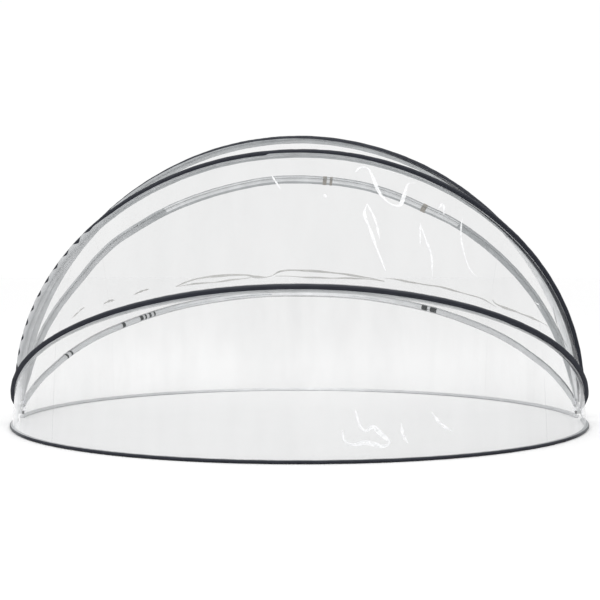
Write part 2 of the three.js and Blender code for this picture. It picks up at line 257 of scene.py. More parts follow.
class Nodes:
    """A small helper that adds and joins shader nodes."""

    def __init__(self, name):
        self.material = bpy.data.materials.new(name)
        self.material.use_nodes = True
        self.tree = self.material.node_tree
        self.shader = self.tree.nodes["Principled BSDF"]

    def add(self, kind, **settings):
        node = self.tree.nodes.new(kind)
        for key, value in settings.items():
            setattr(node, key, value)
        return node

    def set(self, node, **values):
        for key, value in values.items():
            node.inputs[key.replace("_", " ")].default_value = value
        return node

    def join(self, source, target):
        self.tree.links.new(source, target)

    def drive(self, **sources):
        """Joins outputs to the shader's own inputs."""
        for key, source in sources.items():
            self.join(source, self.shader.inputs[key.replace("_", " ")])

    def scaled(self, vector, scale):
        mapping = self.set(self.add("ShaderNodeMapping"), Scale=scale)
        self.join(vector, mapping.inputs["Vector"])
        return mapping.outputs["Vector"]

    def cloth_map(self, scale=(1, 1, 1)):
        return self.scaled(self.add("ShaderNodeUVMap", uv_map="cloth").outputs["UV"], scale)

    def object_map(self, scale=(1, 1, 1)):
        return self.scaled(self.add("ShaderNodeTexCoord").outputs["Object"], scale)

    def part_of(self, vector, axis):
        split = self.add("ShaderNodeSeparateXYZ")
        self.join(vector, split.inputs["Vector"])
        return split.outputs[axis]

    def noise(self, vector, scale=1.0, detail=3.0, roughness=0.5):
        node = self.set(self.add("ShaderNodeTexNoise"), Scale=scale, Detail=detail, Roughness=roughness)
        self.join(vector, node.inputs["Vector"])
        return node.outputs["Fac"]

    def wave(self, vector, direction, scale):
        node = self.set(self.add("ShaderNodeTexWave", bands_direction=direction), Scale=scale)
        self.join(vector, node.inputs["Vector"])
        return node.outputs["Fac"]

    def remap(self, value, source, target):
        """Takes the source range of a value, from and to, to the target range."""
        node = self.add("ShaderNodeMapRange")
        self.set(node, From_Min=source[0], From_Max=source[1], To_Min=target[0], To_Max=target[1])
        self.join(value, node.inputs["Value"])
        return node.outputs["Result"]

    def math(self, operation, *values):
        node = self.add("ShaderNodeMath", operation=operation)
        for socket, value in zip(node.inputs, values):
            if isinstance(value, (int, float)):
                socket.default_value = value
            else:
                self.join(value, socket)
        return node.outputs[0]

    def weigh(self, first, second, share):
        """A mean of two values, where share is the second one's weight."""
        rest = self.math("MULTIPLY", first, 1 - share)
        return self.math("ADD", rest, self.math("MULTIPLY", second, share))

    def ramp(self, value, *stops):
        node = self.add("ShaderNodeValToRGB")
        elements = node.color_ramp.elements
        while len(elements) < len(stops):
            elements.new(1.0)
        for element, (place, colour) in zip(elements, stops):
            element.position = place
            element.color = (*colour, 1)
        self.join(value, node.inputs["Fac"])
        return node.outputs["Color"]

    def mix(self, factor, first):
        """A Mix node for colours. Its second colour is left to the caller."""
        node = self.add("ShaderNodeMix", data_type="RGBA")
        self.join(factor, node.inputs["Factor"])
        self.join(first, node.inputs[MIX_A])
        return node

    def bump(self, height, strength, distance):
        node = self.set(self.add("ShaderNodeBump"), Strength=strength, Distance=distance)
        self.join(height, node.inputs["Height"])
        self.drive(Normal=node.outputs["Normal"])


def shade(colour, factor):
    return tuple(c * factor for c in colour)


THREAD_WAVES = 150      # pairs of threads in a metre of cloth, as the wave node counts them
CLOTH_SHEEN = 0.02
# The lighter grey painted on the side that faces up, as painted top light.
PAINTED_TOP_LIGHT_COLOUR = (0.16, 0.165, 0.18)


def fabric(name, colour, painted_top_light=0.0, far=None):
    """Woven cloth. Painted top light greys the side that faces up, by the amount in the third argument.

    far is (from, to, colour, both_sides): painted light and shade that turns the cloth to that colour
    as x, or its size where both sides are alike, goes from the first value to the second.
    """
    n = Nodes(name)
    cloth = n.cloth_map()
    mottle = n.noise(cloth, scale=9, detail=4, roughness=0.6)
    fine = n.noise(cloth, scale=160, detail=2)
    tone = n.weigh(mottle, fine, 0.3)
    own = n.ramp(tone, (0.3, shade(colour, 0.84)), (0.52, colour), (0.75, shade(colour, 1.18)))
    # Painted top light: the side that faces up turns towards a lighter grey.
    facing_up = n.part_of(n.add("ShaderNodeNewGeometry").outputs["Normal"], "Z")
    mixed = n.mix(n.remap(facing_up, (-0.1, 0.9), (0.0, painted_top_light)), own)
    n.join(n.ramp(tone, (0.3, PAINTED_TOP_LIGHT_COLOUR), (0.7, shade(PAINTED_TOP_LIGHT_COLOUR, 1.2))), mixed.inputs[MIX_B])
    # Painted light and shade along x, as set by far.
    if far:
        clear_at, full_at, painted_colour, both_sides = far
        x = n.part_of(n.object_map(), "X")
        x = n.math("ABSOLUTE", x) if both_sides else x
        mixed = n.mix(n.remap(x, (clear_at, full_at), (0.0, 1.0)), mixed.outputs[MIX_RESULT])
        painted_tone = n.ramp(tone, (0.3, shade(painted_colour, 0.9)), (0.7, shade(painted_colour, 1.1)))
        n.join(painted_tone, mixed.inputs[MIX_B])
    n.drive(Base_Color=mixed.outputs[MIX_RESULT], Roughness=n.remap(fine, (0, 1), (0.72, 0.92)))
    n.set(n.shader, Specular_IOR_Level=0.12, Sheen_Weight=CLOTH_SHEEN, Sheen_Roughness=0.4)
    weave = n.math("MAXIMUM", n.wave(cloth, "X", THREAD_WAVES), n.wave(cloth, "Y", THREAD_WAVES))
    creases = n.noise(n.cloth_map((18, 60, 1)), detail=4)
    n.bump(n.math("ADD", n.math("MULTIPLY", weave, 0.2), creases), strength=0.35, distance=0.0015)
    return n.material


FILM_COLOUR = (0.27, 0.28, 0.285)
FILM_ALPHA = (0.11, 0.152)
FRONT_FILM_ALPHA = (0.11, 0.16)
# The white of bunched film: partly the haze of its layers, partly painted highlight.
BUNCHED_HAZE_AND_HIGHLIGHT = (0.90, 0.905, 0.92)
BOTTOM_HAZE_HEIGHT = (0.22, 0.55)       # metres from the ground edge: full haze below, none above


def film_material(name, colour, clearness, roughness=0.12, hem=0.0, hazes=()):
    """Clear film. Its alpha wanders in long soft streaks, painted reflections; hem makes it hazier and
    darker towards its ground edge.

    hazes are the ends where film is bunched and white, partly from its many layers and partly as
    painted highlight: where on the cloth it is clear, where it is full, and how much alpha it adds there.
    """
    n = Nodes(name)
    # The streaks stand in for reflections off the film's waves: painted reflection.
    streaks = n.noise(n.cloth_map((2.2, 0.5, 1)), scale=1.6)
    fine_streaks = n.noise(n.cloth_map((9, 2.5, 1)), detail=4)
    alpha = n.remap(n.weigh(streaks, fine_streaks, 0.3), (0.32, 0.68), clearness)
    # Hazier and darker towards the ground edge.
    if hem:
        alpha = n.math("ADD", alpha, n.remap(n.part_of(n.cloth_map(), "Y"), BOTTOM_HAZE_HEIGHT, (hem, 0.0)))
    base = n.ramp(fine_streaks, (0.3, shade(colour, 0.97)), (0.7, shade(colour, 1.03)))
    # Bunched ends: whiter, partly from the layers and partly as painted highlight.
    if hazes:
        along = n.part_of(n.cloth_map(), "X")
        bunched = n.remap(n.noise(n.cloth_map((3, 8, 1))), (0.35, 0.62), (0.35, 1.0))
        white = 0.0
        for clear_at, full_at, amount in hazes:
            end = n.remap(along, (clear_at, full_at), (0.0, amount))
            white = n.math("ADD", n.math("MULTIPLY", end, bunched), white)
        alpha = n.math("ADD", alpha, white)
        mixed = n.mix(n.remap(white, (0.0, 0.2), (0.0, 1.0)), base)
        mixed.inputs[MIX_B].default_value = (*BUNCHED_HAZE_AND_HIGHLIGHT, 1)
        base = mixed.outputs[MIX_RESULT]
    n.drive(Alpha=alpha, Base_Color=base)
    n.set(n.shader, Roughness=roughness, IOR=1.5)
    n.bump(n.noise(n.cloth_map((14, 5, 1))), strength=0.25, distance=0.01)
    return n.material


def film_mark_material(name, colour, clearness):
    """A narrow mark on the film, used for painted glints, painted shade along folds and a dark binding."""
    n = Nodes(name)
    flecks = n.noise(n.cloth_map((30, 60, 1)))
    base = n.ramp(flecks, (0.3, shade(colour, 0.9)), (0.7, colour))
    n.drive(Alpha=n.remap(flecks, (0.3, 0.6), clearness), Base_Color=base)
    n.set(n.shader, Roughness=0.3)
    n.bump(flecks, strength=0.3, distance=0.002)
    return n.material


def tape_material():
    n = Nodes("tape")
    cloth = n.cloth_map()
    grime = n.noise(cloth, scale=6, detail=4)
    n.drive(Base_Color=n.ramp(grime, (0.3, (0.44, 0.45, 0.46)), (0.7, (0.54, 0.55, 0.56))))
    n.set(n.shader, Roughness=0.4, Alpha=0.75)
    n.bump(n.wave(cloth, "Y", 90), strength=0.3, distance=0.001)
    return n.material


def galvanised():
    n = Nodes("galvanised")
    cells = n.set(n.add("ShaderNodeTexVoronoi", feature="F1"), Scale=120)
    n.join(n.object_map(), cells.inputs["Vector"])
    spangle = cells.outputs["Distance"]
    n.drive(Base_Color=n.ramp(spangle, (0.0, (0.42, 0.44, 0.46)), (0.8, (0.68, 0.70, 0.71))),
            Roughness=n.remap(spangle, (0, 1), (0.3, 0.5)))
    n.set(n.shader, Metallic=0.95)
    return n.material


def zinc():
    n = Nodes("zinc")
    brushed = n.noise(n.object_map((40, 400, 400)), detail=4)
    worn = n.noise(n.object_map(), scale=45, detail=4)
    n.drive(Base_Color=n.ramp(worn, (0.3, (0.48, 0.49, 0.50)), (0.7, (0.72, 0.73, 0.74))),
            Roughness=n.remap(brushed, (0.3, 0.7), (0.26, 0.42)))
    n.set(n.shader, Metallic=1.0)
    n.bump(brushed, strength=0.15, distance=0.0005)
    return n.material


def black_plastic():
    n = Nodes("black_plastic")
    grain = n.noise(n.object_map(), scale=900, detail=2)
    n.drive(Base_Color=n.ramp(grain, (0.3, (0.010, 0.010, 0.012)), (0.7, (0.018, 0.018, 0.021))),
            Roughness=n.remap(grain, (0.3, 0.7), (0.42, 0.58)))
    n.bump(grain, strength=0.2, distance=0.0004)
    return n.material


NAVY_BLACK = (0.024, 0.026, 0.034)
# The two dark cloths carry painted top light on the side that faces up.
DARK_CLOTH = fabric("sleeve_dark", NAVY_BLACK, painted_top_light=0.28)
# The rail's ends turn lighter grey: painted sheen.
RAIL_CLOTH = fabric("rail_dark", NAVY_BLACK, painted_top_light=0.2, far=(1.72, 1.97, (0.19, 0.2, 0.205), True))
# The lining turns lighter on the left flank: painted light.
LIGHT_CLOTH = fabric("sleeve_light", (0.415, 0.43, 0.44), far=(-1.1, -1.5, (0.53, 0.54, 0.55), False))
# Paler cloth for a painted highlight on the lining.
HIGHLIGHT_CLOTH = fabric("sleeve_painted_highlight", (0.74, 0.75, 0.76))
# The rear sleeves are paler at the crown and darker towards the hinges: painted light and shade.
REAR_CLOTH = fabric("sleeve_rear", (0.92, 0.93, 0.94), far=(0.2, 1.2, (0.62, 0.63, 0.64), True))
TIE_CLOTH = fabric("tie_cloth", (0.05, 0.053, 0.054))
PATCH_CLOTH = fabric("patch_cloth", (0.33, 0.31, 0.28))
FILM = film_material("film", FILM_COLOUR, FILM_ALPHA)
# Hazes are places on the cloth map, which starts PANEL_MAP_STEP further on with each panel.
FRONT_FILM = film_material("film_front", FILM_COLOUR, FRONT_FILM_ALPHA, hem=0.10,
                           hazes=[(1.12, 0.72, 0.24), (5.32, 5.72, 0.7)])
UPPER_FILM = film_material("film_upper", FILM_COLOUR, FILM_ALPHA,
                           hazes=[(8.2, 7.7, 0.16), (12.6, 13.0, 0.3)])
REAR_FILM = film_material("film_rear", (0.29, 0.295, 0.30), (0.05, 0.14))
GATHERED_FILM_WITH_HIGHLIGHT = film_material("film_gathered_with_highlight", (0.86, 0.87, 0.92), (0.30, 0.75), roughness=0.22)
# White strips painted on the film as glints.
GLINT = film_mark_material("film_painted_glint", (0.95, 0.96, 0.97), (0.55, 0.95))
# Grey strips painted as shade along the film's folds.
FOLD_SHADE = film_mark_material("film_fold_shade", (0.36, 0.36, 0.345), (0.45, 0.9))
EDGE = film_mark_material("film_edge", (0.04, 0.04, 0.045), (0.7, 0.95))
TAPE = tape_material()
GALVANISED = galvanised()
ZINC = zinc()
PLASTIC = black_plastic()

# ---- tubes ----

TUBE_RADIUS = 0.008
TUBE_BORE = 0.007
TUBE_SIDES = 20
TUBE_FROM = 0.112       # the tubes start this far from the hinge axis
SWAGE_RADIUS = 0.0065
SWAGE_BORE = 0.0055
SWAGE_LENGTH = 0.044
SWAGE_STEP = 0.1        # the share of a swage over which the tube narrows
SWAGE_REACH = 0.04      # how far the crown tube's box reaches past its joint, in x
CROWN_STATIONS = 90
SIDE_STATIONS = 40


def tube_piece(member, part):
    """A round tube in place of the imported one, following the hoop's true curve."""
    node = f"{member.name}_tube_{part}"
    joint_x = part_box(f"{member.name}_tube_crown")[1].x - SWAGE_REACH
    joint = math.acos(min(1.0, joint_x / member.half_span))
    swage = SWAGE_LENGTH / member.half_span
    step = swage * SWAGE_STEP
    if part == "crown":
        between = np.linspace(joint, math.pi - joint, CROWN_STATIONS)
        phi = np.concatenate([[joint - swage, joint - step], between,
                              [math.pi - joint + step, math.pi - joint + swage]])
        swaged = np.array([True] * 2 + [False] * CROWN_STATIONS + [True] * 2)
    else:
        phi = np.linspace(member.phi_at(TUBE_FROM), joint - step, SIDE_STATIONS)
        phi = math.pi - phi[::-1] if part == "left" else phi
        swaged = np.zeros(SIDE_STATIONS, bool)
    turn = np.linspace(0, FULL_TURN, TUBE_SIDES, endpoint=False)
    outer = np.where(swaged, SWAGE_RADIUS, TUBE_RADIUS)
    inner = np.where(swaged, SWAGE_BORE, TUBE_BORE)
    # The wall: along the outside and back through the bore.
    phi_loop = np.concatenate([phi, phi[::-1]])
    radius_loop = np.concatenate([outer, inner[::-1]])
    u = radius_loop[:, None] * np.cos(turn)[None, :]
    v = radius_loop[:, None] * np.sin(turn)[None, :]
    points = member.around(phi_loop[:, None], u, v)
    points = np.concatenate([points, points[:1]])
    piece = grid_object(f"{node}_round", points, wraps=True, inward=True)
    finish_piece(piece, member.body, [GALVANISED])
    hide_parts(node)


# ---- sleeves ----

SLEEVE_STATIONS = 480
DARK_COLUMNS = 14
LIGHT_COLUMNS = 22
DARK_HALF = math.radians(67)
CLOTH_RADIUS = 0.026        # turns an angle round the sleeve into a length of cloth
WELT = 0.0012
WELT_FROM = (0.1, 0.16)        # distances from the hinge axis over which the welts set in
GROUND_GAP = 0.0003
# The sleeve's narrow end by the hinge and its full size, as distances from the hinge axis, and
# its half sizes there: depth in the hoop's plane and width across it.
BOOT_FROM = 0.095
TAPER_FROM = 0.118
TAPER_TO = 0.28
BOOT_DEPTH = 0.0172
BOOT_WIDTH = 0.0096
SLEEVE_DEPTH = 0.029
SLEEVE_WIDTH = 0.0175
# Squareness: 2 is an ellipse, and more is nearer to a rectangle.
BOOT_SQUARENESS = 4.5
SLEEVE_SQUARENESS = 2.2
SQUARE_FOR = 0.06
# How full the cloth hangs round each tube: at the crown, and low down on the flanks.
CROWN_FULLNESS = {"hoop_4": 1.22, "hoop_5": 0.55}
FLANK_FULLNESS = {"hoop_4": 0.95, "hoop_5": 0.80}
FLANK_TOP = 0.45
# The same for the ground frames' sleeves, which are wider and lower.
RING_END_DEPTH = 0.0165
RING_END_HEIGHT = 0.0097
RING_TAPER_FOR = 0.03
RING_DEPTH = 0.017
RING_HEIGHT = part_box("rear_ring_sleeve")[1].z / 2
RING_SQUARENESS = 2.9


def section_point(depth, width, power, angle):
    """A rounded section: depth is half its size in the frame's plane, width half its size across."""
    c, s = np.cos(angle), np.sin(angle)
    u = depth * np.sign(c) * np.abs(c) ** (2 / power)
    v = width * np.sign(s) * np.abs(s) ** (2 / power)
    return u, v


def sleeve_size(member, distance):
    """Half depth, half width and squareness of the sleeve, at a distance from the hinge axis."""
    if member.on_ground:
        grow = smooth_ramp(distance, BOOT_FROM, TAPER_FROM + RING_TAPER_FOR)
        depth = RING_END_DEPTH + (RING_DEPTH - RING_END_DEPTH) * grow
        width = RING_END_HEIGHT + (RING_HEIGHT - RING_END_HEIGHT) * grow
        return depth, width, np.full_like(grow, RING_SQUARENESS)
    grow = np.clip((distance - TAPER_FROM) / (TAPER_TO - TAPER_FROM), 0, 1)
    crown = smooth_ramp(distance / member.rise, FLANK_TOP, 1.0)
    flank_full, crown_full = FLANK_FULLNESS.get(member.name, 1), CROWN_FULLNESS.get(member.name, 1)
    full_depth = SLEEVE_DEPTH * (flank_full + (crown_full - flank_full) * crown)
    depth = BOOT_DEPTH + (full_depth - BOOT_DEPTH) * grow
    width = BOOT_WIDTH + (SLEEVE_WIDTH - BOOT_WIDTH) * grow
    rounding = smooth_ramp(distance, BOOT_FROM, TAPER_FROM + SQUARE_FOR)
    return depth, width, BOOT_SQUARENESS + (SLEEVE_SQUARENESS - BOOT_SQUARENESS) * rounding


RUMPLE_HEIGHT = 0.0005
RUMPLES_FROM = (0.1, 0.3)
RUMPLE_LENGTH = 0.19
CRINKLE_LENGTH = 0.067
SEED_STEP = 1.7


def rumples(along, angle, seed):
    """How far the cloth stands off, in metres: slow rumples, and short ones in patches.

    Each wave's phase is bent by others that never keep step with it, so no rumple repeats.
    """
    slow = sine(along, RUMPLE_LENGTH, 1.6 * np.sin(angle + seed) + 2 * np.sin(along * 3.1 + seed))
    quick = sine(along, CRINKLE_LENGTH, 2.4 * np.sin(2 * angle + seed) + 3 * np.sin(along * 7.3))
    patch = 0.5 + 0.5 * np.sin(along * 4.7 + seed * 2 + np.sin(angle))
    return RUMPLE_HEIGHT * slow + RUMPLE_HEIGHT * quick * patch


# Which way the dark side of the cloth faces, in degrees from outward towards the front, at
# shares of the half span from the left hinge (-1) to the right one (1).
DARK_TURN = {
    "front_rail": [(-1, 8), (1, 8)],
    "hoop_1": [(-1, 25), (-0.8, 8), (0, 4), (0.6, 14), (0.9, 62), (1, 75)],
    "hoop_2": [(-1, -38), (-0.78, -40), (-0.62, 8), (-0.15, 14), (-0.112, 15), (-0.1, 0), (0.4, 20),
               (0.8, 66), (1, 82)],
    "hoop_3": [(-1, -40), (-0.7, -20), (-0.3, 8), (0, 18), (0.4, 36), (0.75, 60), (0.82, -50), (1, -60)],
    "hoop_4": [(-1, -34), (1, -18)],
    "hoop_5": [(-1, -20), (1, 20)],
    "rear_ring": [(-1, 0), (1, 0)],
}
LACED_MEMBERS = ("hoop_2", "hoop_3")
LACED_FROM = (0.66, 0.74)       # shares of the half span on the left, where the lacing sets in
SCALLOP_PITCH = 0.122
SCALLOP_TURN = math.radians(33)
# A painted highlight on the lining, a stripe of paler cloth: its first and last column, and the
# shares of the half span where it lies.
HIGHLIGHT_COLUMNS = {"hoop_3": (14, 36, 0.77, 1.0), "hoop_4": (16, 23, -0.52, 0.62)}
PALE_MEMBERS = ("hoop_5", "rear_ring")
# How the cloth's ends turn in: the section's share and the steps inward, from the edge on.
HEM_TURNS = ((0.93, -0.6), (0.84, 0.0), (0.84, 2.0))
HEM_STEP = 0.35
DARK_SLOT, LIGHT_SLOT, HIGHLIGHT_SLOT = range(3)


def dark_centre(member, phi):
    """The middle of the dark side at each phi, with the laced, scalloped edge low on the left."""
    across = np.cos(phi)
    places, turns = zip(*DARK_TURN[member.name])
    centre = np.radians(np.interp(across, places, turns))
    if member.name not in LACED_MEMBERS:
        return centre
    laced = smooth_ramp(-across, *LACED_FROM)
    return centre + SCALLOP_TURN * sine(phi * member.half_span, SCALLOP_PITCH) * laced


def hemmed(points):
    """Turns the cloth's two ends in, as a hem, so that no raw edge shows."""
    def turned_in(end, after):
        inward = (after - end).mean(axis=0) * HEM_STEP
        middle = end.mean(axis=0)
        return [middle + (end - middle) * share + inward * steps for share, steps in HEM_TURNS]

    head = turned_in(points[0], points[1])[::-1]
    tail = turned_in(points[-1], points[-2])
    return np.concatenate([np.array(head), points, np.array(tail)])


def cloth_slots(member, phi, columns):
    """Which of the sleeve's materials each of its faces has."""
    row, column = np.divmod(np.arange((len(phi) + 2 * len(HEM_TURNS) - 1) * columns), columns)
    slots = np.where(column < DARK_COLUMNS, DARK_SLOT, LIGHT_SLOT)
    # The painted highlight takes these columns.
    if member.name in HIGHLIGHT_COLUMNS:
        first, last, highlight_from, highlight_to = HIGHLIGHT_COLUMNS[member.name]
        across = np.cos(phi[np.clip(row - len(HEM_TURNS), 0, len(phi) - 1)])
        highlight = (column >= first) & (column < last) & (across > highlight_from) & (across < highlight_to)
        slots = np.where(highlight, HIGHLIGHT_SLOT, slots)
    return slots.astype(np.int32)


def sleeve_piece(member, seed):
    """A loose sleeve of a dark and a light cloth, with a welt where they meet and a hem at each end."""
    start = member.phi_at(BOOT_FROM)
    phi = np.linspace(start, math.pi - start, SLEEVE_STATIONS)
    distance = member.distance(phi)
    depth, width, power = (size[:, None] for size in sleeve_size(member, distance))
    dark = np.linspace(-DARK_HALF, DARK_HALF, DARK_COLUMNS + 1)
    light = np.linspace(DARK_HALF, FULL_TURN - DARK_HALF, LIGHT_COLUMNS + 1)[1:-1]
    turn = np.concatenate([dark, light])
    angle = turn[None, :] + dark_centre(member, phi)[:, None]
    along = phi[:, None] * member.half_span
    u, v = section_point(depth, width, power, angle)
    lift = rumples(along, angle, seed) * smooth_ramp(distance, *RUMPLES_FROM)[:, None]
    welt = np.zeros(len(turn))
    welt[[0, DARK_COLUMNS]] = WELT
    lift = lift + welt[None, :] * smooth_ramp(distance, *WELT_FROM)[:, None]
    scale = 1 + lift / np.hypot(u, v)
    points = member.around(phi[:, None], u * scale + member.wander(phi)[:, None], v * scale)
    if member.on_ground:
        points[..., 2] = np.maximum(points[..., 2], GROUND_GAP)
    points = hemmed(points)
    around = np.concatenate([turn, [FULL_TURN - DARK_HALF]]) * CLOTH_RADIUS
    cloth = cloth_grid(lengths_along(points), around)
    piece = grid_object(f"{member.name}_cover", points, cloth, wraps=True)
    dark_cloth = RAIL_CLOTH if member.name == "front_rail" else DARK_CLOTH
    light_cloth = REAR_CLOTH if member.name in PALE_MEMBERS else LIGHT_CLOTH
    # The third material is the painted highlight.
    finish_piece(piece, member.body, [dark_cloth, light_cloth, HIGHLIGHT_CLOTH])
    piece.data.polygons.foreach_set("material_index", cloth_slots(member, phi, len(turn)))
    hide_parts(f"{member.name}_sleeve")


# ---- film ----

PANELS = ["film_front_lower", "film_front_upper", "film_top_front", "film_top_rear", "film_rear_upper",
          "film_rear_lower"]
# The panels whose film isn't FILM: the two in front and the last.
PANEL_FILMS = {"film_front_lower": FRONT_FILM, "film_front_upper": UPPER_FILM, "film_rear_lower": REAR_FILM}
PANEL_MAP_STEP = np.array([7.0, 3.0])
FILM_FULLNESS = 0.2
GORE_EDGES = [0.098, 0.16, 0.28, 0.48, 0.82, 1.3]
GORE_LAP = 0.0015
GORE_STEP = 0.0004      # how far each gore lies under the next, so that laps don't meet
FILM_ROWS_PER_M = 60
FEWEST_ROWS = 10
FILM_COLUMNS = 30
SEAM_TUCK = 0.0015
PINNED = 0.03           # the share of the panel's width over which its ripples set in
PUCKER_HEIGHT = 0.0028
PUCKER_LENGTH = 0.16
PUCKER_REACH = 0.09     # as a share of the panel's width
SWAY_HEIGHT = 0.004
SWAY_LENGTH = 0.63
PLEAT_HEIGHT = 0.006
PLEATS = 4
# Distances from the hinge axis over which the pleats set in and die out, and the rest sets in.
PLEATS_FROM = (0.09, 0.14)
PLEATS_TO = (0.12, 0.55)
OPEN_FROM = (0.3, 0.9)


def seam_points(member, phi, side):
    """The line where film meets a sleeve: side is 1 on the sleeve's front and -1 on its rear."""
    _, width, _ = sleeve_size(member, member.distance(phi))
    return member.around(phi, member.wander(phi), side * (width - SEAM_TUCK))


def from_axis(points):
    return np.hypot(points[..., 1], points[..., 2] - PIVOT_Z)


def panel_points(front, rear, phi, share):
    """Points of the panel between two frames, with phi as rows and share as columns."""
    a = seam_points(front, phi, -1)[:, None, :]
    b = seam_points(rear, phi, 1)[:, None, :]
    s = share[None, :, None]
    points = a * (1 - s) + b * s
    round_reach = from_axis(a) * (1 - share[None, :]) + from_axis(b) * share[None, :]
    scale = 1 + (round_reach / from_axis(points) - 1) * FILM_FULLNESS
    points[..., 1] *= scale
    points[..., 2] = PIVOT_Z + (points[..., 2] - PIVOT_Z) * scale
    return points


def film_lift(front, phi, share, seed):
    """How far the film stands off its smooth pull: puckers along the seams, pleats at the hinges."""
    along = phi[:, None] * front.half_span
    distance = front.distance(phi)[:, None]
    s = share[None, :]
    edge = np.exp(-s / PUCKER_REACH) + np.exp(-(1 - s) / PUCKER_REACH)
    pinned = smooth_ramp(s, 0, PINNED) * smooth_ramp(1 - s, 0, PINNED)
    pucker = PUCKER_HEIGHT * edge * sine(along, PUCKER_LENGTH, 2.2 * np.sin(along * 2.3 + seed))
    sway = SWAY_HEIGHT * sine(along, SWAY_LENGTH, 1.3 * np.sin(along * 1.7 + seed) + 1.5 * s)
    pleats = PLEAT_HEIGHT * sine(s, 1 / PLEATS, seed + 0.8 * np.sin(18 * distance))
    bunch = (1 - smooth_ramp(distance, *PLEATS_TO)) * smooth_ramp(distance, *PLEATS_FROM)
    return pinned * ((pucker + sway) * smooth_ramp(distance, *OPEN_FROM) + pleats * bunch)


def lifted(points, amount):
    """Moves points away from the middle of the dome by an amount of metres."""
    out = points - PIVOT
    return points + out / np.linalg.norm(out, axis=-1, keepdims=True) * np.asarray(amount)[..., None]


def gore_ranges(member):
    """The runs of phi that each gore covers on the right-hand side; the last one spans the middle."""
    angles = [member.phi_at(edge) for edge in GORE_EDGES]
    return list(zip(angles[:-1], angles[1:])) + [(angles[-1], math.pi - angles[-1])]


def blend_between(piece, front, rear, distance):
    """Finds where a piece's seams lie on two frames, and bakes the piece's place into its mesh.

    The seams are taken this far from the hinge axis; the points found are not used, and the piece is not
    bent.
    """
    phi = np.array([front.phi_at(distance)])
    start = seam_points(front, phi, -1)[0]
    end = seam_points(rear, phi, 1)[0]
    start[0] = end[0] = 0
    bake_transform(piece)


def join_grids(name, grids):
    """One object from several open grids, each with its cloth map."""
    pieces = [grid_object(f"{name}_{i}", points, cloth) for i, (points, cloth) in enumerate(grids)]
    piece = pieces[0]
    if len(pieces) > 1:
        chosen = {"selected_objects": pieces, "selected_editable_objects": pieces}
        with bpy.context.temp_override(active_object=piece, object=piece, **chosen):
            bpy.ops.object.join()
    piece.name = name
    piece.data.name = name
    return piece


def grid_area(points):
    """The area of a grid's quads, each as two triangles."""
    right, down = points[:-1, 1:], points[1:, :-1]
    first = np.cross(down - points[:-1, :-1], right - points[:-1, :-1])
    second = np.cross(down - points[1:, 1:], right - points[1:, 1:])
    return float((np.linalg.norm(first, axis=-1) + np.linalg.norm(second, axis=-1)).sum() / 2)


def gore_piece(index, number, phi_from, phi_to):
    """One gore of a panel, or a left and right pair of them, with its flat size and its area."""
    front, rear = MEMBERS[index], MEMBERS[index + 1]
    spans_middle = number == len(GORE_EDGES) - 1
    end = phi_to if spans_middle else phi_to + GORE_LAP / front.half_span
    rows = max(FEWEST_ROWS, int((end - phi_from) * front.half_span * FILM_ROWS_PER_M))
    phi = np.linspace(phi_from, end, rows)
    share = np.linspace(0, 1, FILM_COLUMNS)
    under = 0.0 if spans_middle else -GORE_STEP * (len(GORE_EDGES) - number)
    runs = [phi] if spans_middle else [phi, math.pi - phi[::-1]]
    grids = []
    for run in runs:
        points = panel_points(front, rear, run, share)
        points = lifted(points, film_lift(front, run, share, index) + under)
        across = np.linalg.norm(points[:, -1] - points[:, 0], axis=-1)
        cloth = cloth_grid((run * front.half_span)[:, None], across[:, None] * share[None, :])
        grids.append((points, cloth + PANEL_MAP_STEP * index))
    piece = join_grids(f"{PANELS[index]}_{'centre' if spans_middle else f'gore_{number + 1}'}", grids)
    # The film gathered by the hinges looks whiter: partly its many layers, partly painted highlight.
    film = GATHERED_FILM_WITH_HIGHLIGHT if number == 0 else PANEL_FILMS.get(PANELS[index], FILM)
    finish_piece(piece, None, [film])
    piece.visible_shadow = False
    blend_between(piece, front, rear, GORE_EDGES[number])
    length = (end - phi_from) * front.half_span * len(runs)
    width = float(np.linalg.norm(np.diff(grids[0][0], axis=1), axis=-1).sum(axis=1).max())
    return piece, (width, length), sum(grid_area(points) for points, _ in grids)


def panel(index):
    """One panel of film in its gores, with the tapes, painted glints, painted fold shade and binding on it.
    """
    front, rear = MEMBERS[index], MEMBERS[index + 1]
    sides = [side for side, member in (("front", front), ("rear", rear)) if not member.on_ground]
    extras = [tape_piece(index, side) for side in sides]
    for kind, (marks, material, near) in MARKS.items():
        if PANELS[index] in marks:
            extras.append(marks_piece(index, kind, marks[PANELS[index]], material, near))
    made = [gore_piece(index, number, *ends) for number, ends in enumerate(gore_ranges(front))]
    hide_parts(PANELS[index])


# ---- painted glints, painted fold shade, a binding and tapes on the film ----
# Each mark is a width and a list of points on its panel: the share of the half span from the middle
# to the right hinge, and the share across the panel from its front frame to its rear one.

